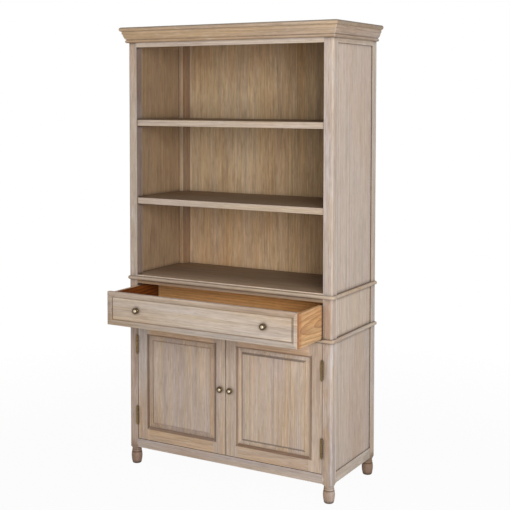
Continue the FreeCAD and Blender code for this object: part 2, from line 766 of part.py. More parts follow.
os.makedirs("parts", exist_ok=True)
for name, shape in sorted(nodes.items()):
    shape.exportStep("parts/" + name + ".step")
    kind = "ok" if shape.isValid() else "NOT VALID"
    print(name, len(shape.Solids), "solids", round(shape.Volume / 1000, 1), "cm3", kind)
print(len(nodes), "nodes, total height", z_top)
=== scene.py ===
import json
import math
import random
from typing import NamedTuple, Sequence

import bpy
from mathutils import Euler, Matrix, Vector


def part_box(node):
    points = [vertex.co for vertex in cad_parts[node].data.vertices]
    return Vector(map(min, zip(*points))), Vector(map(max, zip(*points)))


# A tall limed-wood dresser: open hutch over a base with a drawer and two doors.
# Metres, the front faces -Y, +X is to the right of a person in front of it.
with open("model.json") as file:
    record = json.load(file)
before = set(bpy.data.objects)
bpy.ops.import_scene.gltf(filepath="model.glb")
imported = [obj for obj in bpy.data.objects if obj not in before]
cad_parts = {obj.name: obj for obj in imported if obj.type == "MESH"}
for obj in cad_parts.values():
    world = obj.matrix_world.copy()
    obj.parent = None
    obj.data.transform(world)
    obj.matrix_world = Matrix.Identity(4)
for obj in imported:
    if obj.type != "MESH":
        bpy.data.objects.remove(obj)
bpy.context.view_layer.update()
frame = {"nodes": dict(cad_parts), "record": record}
parts = frame["nodes"]

# Camera, at the photograph's viewing angle
IMAGE_SIZE = 510.0              # pixels
CAMERA_PLACE = (2.3828, -4.07575, 1.6929)
CAMERA_YAW = 30.588             # degrees, to the left of +Y
CAMERA_PITCH = -3.018           # degrees, above the horizon
LEVEL = 90.0                    # degrees from a camera that looks straight down to a level one
FOCAL_LENGTH_PX = 1076.42
AXIS_PX = (232.1, 152.4)        # where the optical axis meets the picture
SENSOR_WIDTH = 36.0             # millimetres

# Light and stage
WHITE = (1.0, 1.0, 1.0, 1.0)
WORLD_LIGHT = 0.45
BACKDROP = 1.0                  # strength of the white that is seen behind the piece
KEY_LIGHT = 142.0               # watts
KEY_PLACE = (2.9, -3.2, 1.85)
KEY_SIZE = 2.4                  # metres across
KEY_AIM = (0.0, 0.0, 1.3)
FLOOR_RADIUS = 3.0
FLOOR_FADE = (1.2, 2.8)         # the floor melts into the backdrop between these radii
FLOOR_SIDES = 96
FLOOR_WHITE = 0.96              # share of the floor's look that is the white backdrop
FLOOR_GREYS = (0.44, 0.50)      # of its grit

# Wood tones in display values: pale and tan patches, brown streaks, lime in the pores, glaze and painted
# shade in the corners
LIMED = {"pale": (199, 185, 173), "tan": (192, 161, 132), "brown": (126, 104, 86),
         "lime": (226, 217, 209), "glaze_and_shade": (66, 49, 36)}
FRONT = {"pale": (206, 190, 174), "tan": (194, 168, 141), "brown": (130, 106, 84),
         "lime": (224, 214, 202), "glaze_and_shade": (66, 49, 36)}
WARM = {"pale": (190, 168, 146), "tan": (184, 150, 118), "brown": (130, 100, 74),
        "lime": (218, 205, 191), "glaze_and_shade": (66, 48, 33)}
INNER = {"pale": (197, 172, 140), "tan": (182, 150, 115), "brown": (104, 78, 52),
         "lime": (212, 194, 168), "glaze_and_shade": (62, 45, 30)}
SIDE = {"pale": (200, 183, 170), "tan": (195, 170, 150), "brown": (128, 105, 90),
        "lime": (226, 215, 207), "glaze_and_shade": (64, 48, 37)}
POST = {"pale": (192, 175, 161), "tan": (186, 155, 129), "brown": (118, 96, 80),
        "lime": (224, 214, 206), "glaze_and_shade": (64, 48, 37)}
PANEL = {"pale": (197, 177, 160), "tan": (188, 160, 133), "brown": (128, 104, 84),
         "lime": (222, 210, 198), "glaze_and_shade": (66, 49, 36)}
EDGE = {"pale": (196, 178, 160), "tan": (192, 164, 134), "brown": (130, 102, 76),
        "lime": (220, 208, 194), "glaze_and_shade": (66, 48, 33)}
# Darker tones of the front left post: painted shade on the side away from the light
GREY = {"pale": (183, 160, 145), "tan": (174, 143, 120), "brown": (112, 90, 76),
        "lime": (220, 210, 203), "glaze_and_shade": (62, 46, 36)}
NATURAL = {"pale": (218, 178, 134), "tan": (198, 146, 94), "brown": (134, 80, 38),
           "lime": (228, 196, 156), "glaze_and_shade": (56, 32, 13)}
CHALK_WHITE = (208, 203, 203)   # lime left white on the posts

# Brass tones in display values; the dome's pale tone is wear and a painted highlight
BRASS = {"bright": (136, 112, 70), "dull": (84, 67, 42), "rim": (92, 76, 52), "dome": (204, 192, 168),
         "corner": (26, 20, 14), "edge": (176, 156, 116)}


class Figure(NamedTuple):
    """Noise in cycles to the metre along and across the grain, its octaves and roughness, and the
    values between which it sets in."""
    along: float
    across: float
    detail: float = 2.0
    roughness: float = 0.5
    low: float = 0.0
    high: float = 1.0


# Figures of the wood, the brass and the floor
PATCH = Figure(1.3, 5.0, 3.0)
SMUDGE = Figure(9.0, 34.0, 4.0, 0.6, 0.5, 0.78)
BLOOM = Figure(4.0, 26.0, 3.0, 0.6, 0.5, 0.68)
WAVE = Figure(1.5, 8.0)
STREAK = Figure(2.2, 60.0, 4.0, 0.65, 0.3, 0.7)
HUE = Figure(1.4, 34.0, 4.0, 0.6, 0.36, 0.64)
FIBRE = Figure(12.0, 230.0, 3.0, 0.6, 0.25, 0.75)
FLECK = Figure(18.0, 260.0, 1.0, 0.5, 0.56, 0.72)
PORE = Figure(26.0, 420.0, 1.0, 0.5, 0.58, 0.74)
BRASS_BLOTCH = Figure(160.0, 160.0, 4.0, 0.6, 0.35, 0.7)
BRASS_GRAIN = Figure(1500.0, 1500.0)
FLOOR_GRIT = Figure(40.0, 40.0)

# Wood: how its figure runs and how its surface takes the light
GRAIN_TURN = {"X": (0.0, 0.0, 0.0), "Y": (0.0, 0.0, -math.pi / 2), "Z": (0.0, math.pi / 2, 0.0)}
NOISE_SHIFT = 9.0               # metres, the largest shift of a piece's place in the noise
WAVER = 0.004                   # metres that the lines wander from side to side
COOL = (0.92, 0.94, 1.02, 1.0)  # tints of the cooler and the warmer streaks
WARMER = (1.07, 1.03, 0.90, 1.0)
LIME_SHARE = 0.3                # strength of the lime in the flecks and of the brown in the pores
RING_SPACING = 0.0075           # metres from one growth ring to the next
WIDE_RINGS = 0.015
RING_WOBBLE = {"Distortion": 3.0, "Detail": 2.0, "Detail Scale": 0.3, "Detail Roughness": 0.6}
RING_CONTRAST = 2.0
RING_STRETCH = 0.05             # scale of the rings along the grain
RING_TILT = 0.35                # largest tilt of the pith, in radians
PITH_REACH = (0.09, 0.22)       # metres from the middle of a piece to its pith, least and most
WAVE_RATE = 20.0                # radians to the metre in a wave texture of scale 1
GLAZE_AND_SHADE_REACH = 0.018             # metres from a corner that its glaze and painted shade reach
GLAZE_AND_SHADE_OPEN = (0.94, 0.5)        # openness of a corner between which the glaze and painted shade set in
WEAR_REACH = 0.003              # metres from an edge that its wear reaches
POST_WEAR_AND_HIGHLIGHT = 0.009               # the same on the front posts, where it also paints the highlight on their rounded corners
WEAR_OPEN = (0.75, 0.35)        # openness under an edge between which the wear sets in
TURN_RANGE = (0.4, 0.8)         # cosines between which a face counts as turned a given way
BAND_BLUR = 0.0012              # metres to either side of a band's edge over which it fades
PORE_DEPTH = 0.6
WOOD_BUMP = {"Strength": 0.25, "Distance": 0.0006}
ROUGH_FIBRE = (0.3, 0.7)        # values of the fibre between which the roughness changes
WOOD_ROUGHNESS = (0.55, 0.75)
WOOD_SPECULAR = 0.3
OCCLUSION_SAMPLES = 8

# Brass
DOME_WEAR_AND_HIGHLIGHT = (0.0088, 0.0042)    # metres from a knob's axis between which its dome is worn bright and painted with a highlight
RIM_DARK = (0.0045, 0.0085)     # metres from a knob's axis between which its rim turns dark
DOME_ROUGHNESS = 0.15           # added on the worn and highlighted dome
ROUGH_BLOTCH = (0.3, 0.7)       # values of the blotches between which the roughness changes
BRASS_ROUGHNESS = (0.3, 0.45)
BRASS_CORNER = {"reach": 0.006, "openness": (0.95, 0.5), "share": 0.95}
BRASS_EDGE = {"reach": 0.0015, "openness": (0.8, 0.4), "share": 0.4}
BRASS_BUMP = {"Strength": 0.15, "Distance": 0.0002}


def srgb(red, green, blue):
    """A colour given in 8-bit display values, as the linear colour that shaders take."""
    def linear(value):
        value /= 255
        return value / 12.92 if value <= 0.04045 else ((value + 0.055) / 1.055) ** 2.4
    return (linear(red), linear(green), linear(blue), 1.0)


class Graph:
    """Adds nodes to a material or a world. An input is a plain value or another node's output."""

    def __init__(self, owner):
        self.owner = owner
        owner.use_nodes = True
        self.tree = owner.node_tree
        self.tree.nodes.clear()

    def put(self, socket, value):
        if isinstance(value, bpy.types.NodeSocket):
            self.tree.links.new(value, socket)
        else:
            socket.default_value = value

    def add(self, kind, inputs, **settings):
        node = self.tree.nodes.new("ShaderNode" + kind)
        for key, value in settings.items():
            setattr(node, key, value)
        for key, value in inputs.items():
            self.put(node.inputs[key], value)
        return node

    def math(self, operation, *values):
        return self.add("Math", dict(enumerate(values)), operation=operation).outputs[0]

    def vector(self, operation, *values):
        return self.add("VectorMath", dict(enumerate(values)), operation=operation).outputs[0]

    def axes(self, place):
        return self.add("SeparateXYZ", {0: place}).outputs

    def mix(self, factor, a, b):
        """Two colours mixed. The numbers are the colour sockets of a Mix node."""
        return self.add("Mix", {0: factor, 6: a, 7: b}, data_type="RGBA").outputs[2]

    def brighten(self, colour, factor):
        return self.add("VectorMath", {0: colour, "Scale": factor}, operation="SCALE").outputs[0]

    def tint(self, share, colour, tint):
        """The colour, and by the share the colour times the tint."""
        return self.mix(share, colour, self.vector("MULTIPLY", colour, tint))

    def ramp(self, value, low, high, to_low=0.0, to_high=1.0):
        inputs = {"Value": value, "From Min": low, "From Max": high, "To Min": to_low, "To Max": to_high}
        return self.add("MapRange", inputs).outputs[0]

    def noise(self, place, figure):
        size = (figure.along, figure.across, figure.across)
        stretched = self.add("Mapping", {"Vector": place, "Scale": size}).outputs[0]
        inputs = {"Vector": stretched, "Scale": 1.0, "Detail": figure.detail, "Roughness": figure.roughness}
        return self.add("TexNoise", inputs)

    def value(self, place, figure):
        return self.noise(place, figure).outputs["Fac"]

    def share(self, place, figure, to_low=0.0, to_high=1.0):
        """How far a figure has set in."""
        return self.ramp(self.value(place, figure), figure.low, figure.high, to_low, to_high)

    def gathered(self, reach, openness, share, inside=False):
        """How much gathers in corners or, measured inside the piece, at its edges."""
        node = self.add("AmbientOcclusion", {"Distance": reach}, samples=OCCLUSION_SAMPLES, inside=inside,
                        only_local=inside)
        return self.ramp(node.outputs["AO"], *openness, 0.0, share)

    def seen_directly(self):
        """1 for rays from the camera and for reflected and passing rays, 0 for rays that carry light."""
        path = self.add("LightPath", {})
        seen = path.outputs["Is Camera Ray"]
        for name in ("Is Glossy Ray", "Is Transmission Ray"):
            seen = self.math("MAXIMUM", seen, path.outputs[name])
        return seen

    def finish(self, shader, output="OutputMaterial"):
        self.add(output, {"Surface": shader})
        return self.owner


class Pith(NamedTuple):
    """Where a piece's growth rings have their middle: its distance and side, the stretch of the rings
    along the grain and the two tilts of the pith in radians."""
    reach: float
    angle: float
    stretch: float
    tilts: Sequence


class Shade(NamedTuple):
    """A tint that sets in between two distances from a piece's low or high side along an axis."""
    axis: str
    side: str
    start: float
    end: float
    tint: Sequence


class Look(NamedTuple):
    """What one piece of wood looks like, besides its tones."""
    rings: float = 0.25             # how brown the growth rings are
    spacing: float = RING_SPACING
    pith: Pith = None               # drawn at random, if none is given
    streaks: float = 0.14           # how far streaks and fibres brighten and darken
    patch: Sequence = (0.30, 0.55)  # values of the noise between which tan turns pale
    hue: float = 0.7                # strength of the cooler and the warmer streaks
    smudge: float = 0.18            # strength of the brown smudges
    bloom: float = 0.0              # strength of the white lime
    glaze_and_shade: float = 0.9              # strength of the glaze and painted shade in the corners
    wear: float = WEAR_REACH
    worn: float = 0.4               # strength of the wear at the edges, which on the front posts also paints a highlight
    tint: Sequence = (1.0, 1.0, 1.0)
    shades: Sequence = ()
    turned: Sequence = ()           # directions, and the tints of the faces that turn that way, most of them painted light and shade


def any_pith(draw):
    return Pith(draw.uniform(*PITH_REACH), draw.uniform(0.0, 2 * math.pi), RING_STRETCH,
                (draw.uniform(-RING_TILT, RING_TILT), draw.uniform(-RING_TILT, RING_TILT)))


def any_shift(draw):
    return [draw.uniform(-NOISE_SHIFT, NOISE_SHIFT) for _ in range(3)]


def growth_rings(graph, bent, grain, centre, shift, pith, spacing):
    """Rings round a pith beside the piece, a little out of line with it, dark at the end of each year."""
    turn = Euler((0.0, *pith.tilts))
    scale = Vector((pith.stretch, 1.0, 1.0))
    middle = Euler(GRAIN_TURN[grain]).to_matrix() @ Vector(centre) + Vector(shift)
    axis = Vector((0.0, pith.reach * math.cos(pith.angle), pith.reach * math.sin(pith.angle)))
    axis -= turn.to_matrix() @ (scale * middle)
    place = graph.add("Mapping", {"Vector": bent, "Scale": scale, "Rotation": turn, "Location": axis})
    inputs = {"Vector": place.outputs[0], "Scale": 2 * math.pi / (WAVE_RATE * spacing), **RING_WOBBLE}
    wave = graph.add("TexWave", inputs, wave_type="RINGS", rings_direction="X", wave_profile="SAW")
    return graph.math("POWER", wave.outputs["Fac"], RING_CONTRAST)


def figured(graph, tone, look, along, bent, ring, fibre, pore):
    """The colour of the wood with its patches, rings, streaks, smudges and lime."""
    spot = graph.ramp(graph.value(along, PATCH), *look.patch)
    colour = graph.mix(spot, tone["tan"], tone["pale"])
    warmth = graph.mix(graph.share(bent, HUE), COOL, WARMER)
    colour = graph.tint(look.hue, colour, warmth)
    colour = graph.mix(graph.math("MULTIPLY", ring, look.rings), colour, tone["brown"])
    light_and_dark = (1 + look.streaks, 1 - look.streaks)
    colour = graph.brighten(colour, graph.share(bent, STREAK, *light_and_dark))
    colour = graph.brighten(colour, graph.ramp(fibre, FIBRE.low, FIBRE.high, *light_and_dark))
    colour = graph.mix(graph.share(along, SMUDGE, 0.0, look.smudge), colour, tone["brown"])
    if look.bloom:
        colour = graph.mix(graph.share(along, BLOOM, 0.0, look.bloom), colour, srgb(*CHALK_WHITE))
    fleck = graph.share(bent, FLECK)
    colour = graph.mix(graph.math("MULTIPLY", fleck, LIME_SHARE), colour, tone["lime"])
    return graph.mix(graph.math("MULTIPLY", pore, LIME_SHARE), colour, tone["brown"])


def band_masks(graph, place, centre, half, bands):
    """Masks and tints of bands beside an upright rectangle that faces -Y. Each band is on one side of
    the rectangle, between two distances outside it."""
    axes = graph.axes(place)
    gaps = []
    past = []
    for axis in (0, 2):
        away = graph.math("SUBTRACT", axes[axis], centre[axis])
        past.append(graph.ramp(away, -BAND_BLUR, BAND_BLUR))
        gaps.append(graph.math("SUBTRACT", graph.math("ABSOLUTE", away), half[axis]))
    outside = graph.math("MAXIMUM", *gaps)
    beside = graph.ramp(graph.math("SUBTRACT", *gaps), -BAND_BLUR, BAND_BLUR)
    over = graph.math("SUBTRACT", 1.0, beside)
    sides = {"right": graph.math("MULTIPLY", beside, past[0]),
             "left": graph.math("MULTIPLY", beside, graph.math("SUBTRACT", 1.0, past[0])),
             "above": graph.math("MULTIPLY", over, past[1]),
             "below": graph.math("MULTIPLY", over, graph.math("SUBTRACT", 1.0, past[1]))}
    for side, rows in bands.items():
        for start, end, tint in rows:
            inner = graph.ramp(outside, start - BAND_BLUR, start + BAND_BLUR)
            outer = graph.ramp(outside, end + BAND_BLUR, end - BAND_BLUR)
            yield graph.math("MULTIPLY", graph.math("MULTIPLY", inner, outer), sides[side]), tint


def tinted(graph, colour, look, coordinates, low, high, field):
    """The colour with the piece's tints, shades and bands, many of them painted light and shade."""
    place = coordinates["Object"]
    colour = graph.vector("MULTIPLY", colour, look.tint)
    if field:
        for mask, tint in band_masks(graph, place, *field):
            colour = graph.tint(mask, colour, tint)
    axes = graph.axes(place)
    for shade in look.shades:
        axis = "XYZ".index(shade.axis)
        if shade.side == "low":
            start, end = low[axis] + shade.start, low[axis] + shade.end
        else:
            start, end = high[axis] - shade.start, high[axis] - shade.end
        colour = graph.tint(graph.ramp(axes[axis], start, end), colour, shade.tint)
    for direction, tint in look.turned:
        facing = graph.add("VectorMath", {0: coordinates["Normal"], 1: direction}, operation="DOT_PRODUCT")
        colour = graph.tint(graph.ramp(facing.outputs["Value"], *TURN_RANGE), colour, tint)
    return colour


def wood(name, grain, tones, look, low, high, field, seed):
    """Wood with its grain along one axis, glazed and painted with shade in the corners, and worn at the
    edges.
    """
    draw = random.Random(seed)
    graph = Graph(bpy.data.materials.new("wood." + name))
    tone = {key: srgb(*value) for key, value in tones.items()}
    coordinates = graph.add("TexCoord", {}).outputs
    shift = any_shift(draw)
    inputs = {"Vector": coordinates["Object"], "Rotation": GRAIN_TURN[grain], "Location": shift}
    along = graph.add("Mapping", inputs).outputs[0]
    wander = graph.noise(along, WAVE).outputs["Color"]
    bent = graph.vector("MULTIPLY_ADD", wander, (0.0, WAVER, WAVER), along)
    pith = look.pith or any_pith(draw)
    ring = growth_rings(graph, bent, grain, (low + high) / 2, shift, pith, look.spacing)
    fibre = graph.value(bent, FIBRE)
    pore = graph.share(bent, PORE)

    colour = figured(graph, tone, look, along, bent, ring, fibre, pore)
    colour = tinted(graph, colour, look, coordinates, low, high, field)
    # Glaze and painted shade: darker wherever other surfaces come near, in corners, gaps and recesses
    colour = graph.mix(graph.gathered(GLAZE_AND_SHADE_REACH, GLAZE_AND_SHADE_OPEN, look.glaze_and_shade), colour, tone["glaze_and_shade"])
    colour = graph.mix(graph.gathered(look.wear, WEAR_OPEN, look.worn, inside=True), colour, tone["lime"])

    height = graph.math("ADD", fibre, graph.math("MULTIPLY", pore, -PORE_DEPTH))
    bump = graph.add("Bump", {"Height": height, **WOOD_BUMP}).outputs[0]
    rough = graph.ramp(fibre, *ROUGH_FIBRE, *WOOD_ROUGHNESS)
    shader = graph.add("BsdfPrincipled", {"Base Color": colour, "Roughness": rough, "Normal": bump,
                                          "Specular IOR Level": WOOD_SPECULAR})
    return graph.finish(shader.outputs[0])


def knob_radius(graph, place, low, high):
    """The distance from a knob's axis or, where a node has a pair of knobs, from the nearer axis."""
    middle, half = (low + high) / 2, (high - low) / 2
    axes = graph.axes(place)
    across = graph.math("ABSOLUTE", graph.math("SUBTRACT", axes[0], middle.x))
    across = graph.math("SUBTRACT", across, half.x - half.z)
    up = graph.math("SUBTRACT", axes[2], middle.z)
    squares = [graph.math("POWER", away, 2.0) for away in (across, up)]
    return graph.math("SQRT", graph.math("ADD", *squares))


def aged_brass(name, low, high, seed):
    """Dark brass, worn bright at the edges, and on knobs also pale at the middle of the face, worn and
    painted with a highlight.
    """
    draw = random.Random(seed)
    graph = Graph(bpy.data.materials.new("brass." + name))
    tone = {key: srgb(*value) for key, value in BRASS.items()}
    place = graph.add("TexCoord", {}).outputs["Object"]
    moved = graph.add("Mapping", {"Vector": place, "Location": any_shift(draw)}).outputs[0]
    blotch = graph.value(moved, BRASS_BLOTCH)
    dullness = graph.ramp(blotch, BRASS_BLOTCH.low, BRASS_BLOTCH.high)
    colour = graph.mix(dullness, tone["bright"], tone["dull"])
    rough = graph.ramp(blotch, *ROUGH_BLOTCH, *BRASS_ROUGHNESS)
    if "knob" in name:
        radius = knob_radius(graph, place, low, high)
        # The dome, worn bright and painted with a highlight
        dome = graph.ramp(radius, *DOME_WEAR_AND_HIGHLIGHT)
        colour = graph.mix(graph.ramp(radius, *RIM_DARK), colour, tone["rim"])
        colour = graph.mix(dome, colour, tone["dome"])
        rough = graph.math("ADD", rough, graph.math("MULTIPLY", dome, DOME_ROUGHNESS))
    colour = graph.mix(graph.gathered(**BRASS_CORNER), colour, tone["corner"])
    colour = graph.mix(graph.gathered(**BRASS_EDGE, inside=True), colour, tone["edge"])
    bump = graph.add("Bump", {"Height": graph.value(moved, BRASS_GRAIN), **BRASS_BUMP}).outputs[0]
    shader = graph.add("BsdfPrincipled", {"Base Color": colour, "Roughness": rough, "Normal": bump,
                                          "Metallic": 1.0})
    return graph.finish(shader.outputs[0])


# Directions that faces turn
UP = (0.0, 0.0, 1.0)
RIGHT = (1.0, 0.0, 0.0)
LEFT = (-1.0, 0.0, 0.0)
FORWARD = (0.0, -1.0, 0.0)
BEVEL_RIGHT = (1.0, -0.3, 0.0)
BEVEL_LEFT = (-1.0, -0.3, 0.0)

# Patches that are pale nearly all over, and patches that are mostly tan
EVEN = (0.10, 0.42)
TANNED = (0.42, 0.80)

# Shades and tints of the base
# Feet darker towards the floor: partly dirt, partly painted shade, deepest on the left and rear feet, away
# from the light
FRONT_FOOT = Shade("Z", "low", 0.120, 0.085, (0.91, 0.88, 0.82))
LEFT_FOOT = Shade("Z", "low", 0.120, 0.085, (0.68, 0.62, 0.58))
REAR_FOOT = Shade("Z", "low", 0.110, 0.085, (0.50, 0.44, 0.40))
# Painted shade: two dark lines in the grooves at the feet's necks, each taken off again just below it
NECK = [Shade("Z", "low", 0.0665, 0.0645, (0.72, 0.66, 0.62)),
        Shade("Z", "low", 0.0625, 0.061, (1.5, 1.6, 1.7)),
        Shade("Z", "low", 0.0555, 0.054, (0.66, 0.60, 0.56)),
        Shade("Z", "low", 0.0515, 0.048, (1.4, 1.5, 1.6))]
POST_HEAD = Shade("Z", "low", 0.66, 0.70, (0.92, 0.86, 0.80))
POST_LOW = Shade("Z", "low", 0.36, 0.30, (0.90, 0.88, 0.88))
# Lime and a painted highlight on the rounded right corner and right side of the front right post
POST_CORNER = Shade("X", "high", 0.0167, 0.0087, (1.06, 1.15, 1.28))
POST_SIDE = (1.0, 0.98, 0.95)
BESIDE_DRAWER = Shade("Z", "high", 0.185, 0.155, (1.07, 1.07, 1.03))
# Painted light under the drawer, on the top of the right door's panel and on the doors' top rails, where the
# drawer's shadow falls
UNDER_DRAWER = Shade("Z", "high", 0.13, 0.05, (1.12, 1.13, 1.15))
DOOR_TOP_RAIL = (1.24, 1.22, 1.25)
DOOR_BOTTOM_RAIL = (1.03, 1.04, 1.11)
BASE_RAIL = (0.94, 0.91, 0.91)

# Shades and tints of the drawer and of the rail above it
FRONT_END = (0.68, 0.38, 0.22)
# Painted shade on the front of the rail above the drawer, under the base top's overhang
DIM_RAIL = (0.74, 0.64, 0.54)
# Painted light on the top edges of the drawer's sides
TOP_EDGE = (1.04, 1.10, 1.20)
DRAWER_SIDE_FRONT = Shade("Y", "low", 0.02585, 0.01185, (0.84, 0.72, 0.63))
DRAWER_SIDE_LOW = Shade("Z", "low", 0.0607, 0.0357, (1.06, 1.13, 1.20))
DRAWER_SIDE_FIGURE = Pith(0.030, 0.0, 0.22, (0.0, -0.55))
# Painted shade on the inner faces of the drawer's sides
LEFT_SIDE_INSIDE = (0.29, 0.125, 0.025)
RIGHT_SIDE_INSIDE = (0.30, 0.13, 0.025)
# Painted light on the inner face of the drawer's back, with a more golden tone
DRAWER_BACK_FACE = (1.26, 1.18, 0.96)
DRAWER_BACK_END = Shade("X", "low", 0.014, 0.009, (1.30, 1.36, 1.42))

# Shades and tints of the hutch
# Inner faces of the hutch's sides: browner, less limed wood, and painted shade inside the hutch
INSIDE = (0.63, 0.52, 0.37)
OUTSIDE_AGAIN = tuple(1 / share for share in INSIDE)
# The inside tint and painted shade of the two side rails sets in within the left one and is taken off again
# within the right one
RAIL_INSIDE = [Shade("X", "low", 0.005, 0.011, INSIDE), Shade("X", "high", 0.011, 0.005, OUTSIDE_AGAIN)]
# Painted shade on the inner faces of the hutch's front posts
POST_INSIDE = (0.52, 0.48, 0.47)
# Painted shade on the faces of the hutch's rear posts that look into the hutch
STILE_FACE = (0.90, 0.82, 0.68)
STILE_BEVEL = (0.47, 0.37, 0.28)
# Painted shade on the tops of the shelves and the hutch floor
SHELF_TOP = (0.45, 0.39, 0.32)
# Painted light on the hutch floor, brighter towards its open front
FLOOR_FRONT = Shade("Y", "low", 0.18, 0.0, (1.80, 1.86, 2.02))
# Painted shade and light on the hutch's back: darker at the top and the right, lighter lower down
BACK_TOP = Shade("Z", "high", 0.281, 0.081, (0.90, 0.87, 0.84))
BACK_LOW = Shade("Z", "low", 0.369, 0.249, (1.12, 1.08, 1.06))
BACK_RIGHT = Shade("X", "high", 0.434, 0.314, (0.88, 0.83, 0.74))
# Painted highlight: a lighter line along the back's left edge
BACK_EDGE = Shade("X", "low", 0.0295, 0.0265, (1.16, 1.18, 1.24))
# Painted shade on the lower half of the cornice's bead
CORNICE_BEAD = Shade("Z", "low", 0.0085, 0.0045, (0.74, 0.71, 0.68))
# Painted shade on the side faces of the cornice's returns
CORNICE_END = (0.84, 0.80, 0.76)
# Painted shade on the cap's upper rim, its top and its ends, which turn away from the light
CAP_RIM = Shade("Z", "high", 0.0095, 0.0045, (0.74, 0.78, 0.82))
CAP_TOP = (0.60, 0.58, 0.56)
CAP_END = (0.70, 0.71, 0.74)

